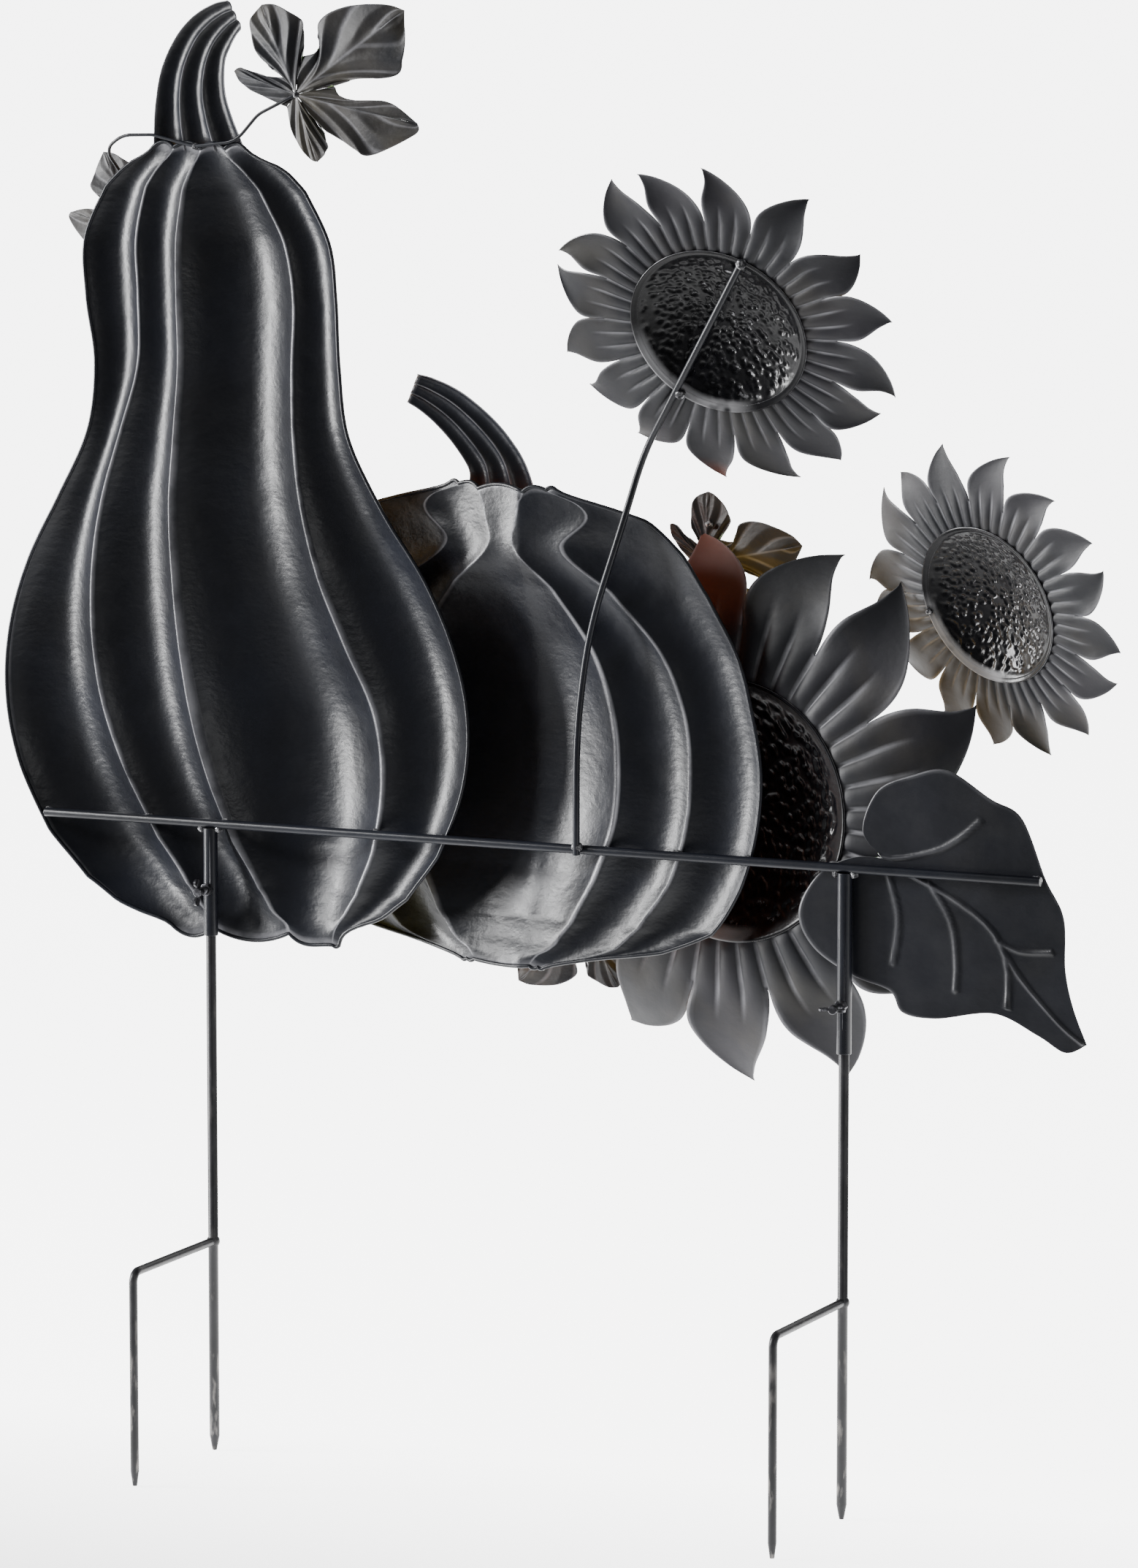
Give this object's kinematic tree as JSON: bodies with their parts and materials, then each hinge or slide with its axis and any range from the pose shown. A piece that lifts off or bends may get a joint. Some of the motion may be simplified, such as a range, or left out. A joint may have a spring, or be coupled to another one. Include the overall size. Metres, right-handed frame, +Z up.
{
  "type": "autumn garden stake display",
  "caption": "Pressed sheet metal gourd, pumpkin and sunflowers on a cross bar, with two spiked stakes clamped in sockets by wing screws.",
  "frame": {"origin": "on the left stake's axis at ground level, which is the height of its foot step", "axes": "+X to the right seen from the back, +Y towards the painted front, +Z up"},
  "size_m": [1.0704, 0.2627, 1.2899],
  "materials": {
    "rear_black_enamel": "satin black enamel",
    "stake_black": "satin black powder coat, scuffed at the spikes",
    "screw_black_zinc": "black passivated zinc, semi-gloss",
    "gourd_enamel": "hand painted enamel, black at the back, satin",
    "pumpkin_enamel": "hand painted enamel, black at the back, satin",
    "stem_enamel": "hand painted enamel, black at the back, satin",
    "petal_enamel": "hand painted enamel, black at the back, satin",
    "dish_enamel": "hand painted enamel, gloss black at the back, hammered",
    "leaf_enamel": "hand painted enamel, black at the back, satin",
    "wire_black": "satin black enamel",
    "weld_black": "satin black enamel over rough weld"
  },
  "bodies": {
    "display": {"cross_bar": "rear_black_enamel", "left_socket_tube": "rear_black_enamel", "right_socket_tube": "rear_black_enamel", "left_clamp_nut": "screw_black_zinc", "right_clamp_nut": "screw_black_zinc", "gourd_body": "gourd_enamel", "pumpkin_body": "pumpkin_enamel", "gourd_stem": "stem_enamel", "pumpkin_stem": "stem_enamel", "large_sunflower_petals": "petal_enamel", "upper_sunflower_petals": "petal_enamel", "right_sunflower_petals": "petal_enamel", "large_sunflower_dish": "dish_enamel", "upper_sunflower_dish": "dish_enamel", "right_sunflower_dish": "dish_enamel", "gourd_right_leaf": "leaf_enamel", "gourd_left_leaf": "leaf_enamel", "broad_leaf": "leaf_enamel", "large_sunflower_leaf": "leaf_enamel", "pumpkin_leaf": "leaf_enamel", "upper_sunflower_stem": "wire_black", "vine_wire": "wire_black", "bar_weld_beads": "weld_black", "tube_weld_beads": "weld_black", "stem_weld_beads": "weld_black", "vine_weld_beads": "weld_black", "petal_weld_beads": "weld_black"},
    "left_stake": {"left_stake_rod": "stake_black", "left_stake_step": "stake_black"},
    "right_stake": {"right_stake_rod": "stake_black", "right_stake_step": "stake_black"},
    "left_screw": {"left_wing_screw": "screw_black_zinc"},
    "right_screw": {"right_wing_screw": "screw_black_zinc"}
  },
  "joints": [
    {"name": "left_stake_slide", "type": "slide", "parent": "display", "child": "left_stake", "axis": [0, 0, -1], "range_m": [0, 0.09]},
    {"name": "right_stake_slide", "type": "slide", "parent": "display", "child": "right_stake", "axis": [0, 0, -1], "range_m": [0, 0.15]},
    {"name": "left_screw_turn", "type": "hinge", "parent": "display", "child": "left_screw", "pos_m": [0, -0.0123, 0.318], "axis": [0, -1, 0], "continuous": true},
    {"name": "right_screw_turn", "type": "hinge", "parent": "display", "child": "right_screw", "pos_m": [0.608, -0.0123, 0.258], "axis": [0, -1, 0], "continuous": true}
  ]
}
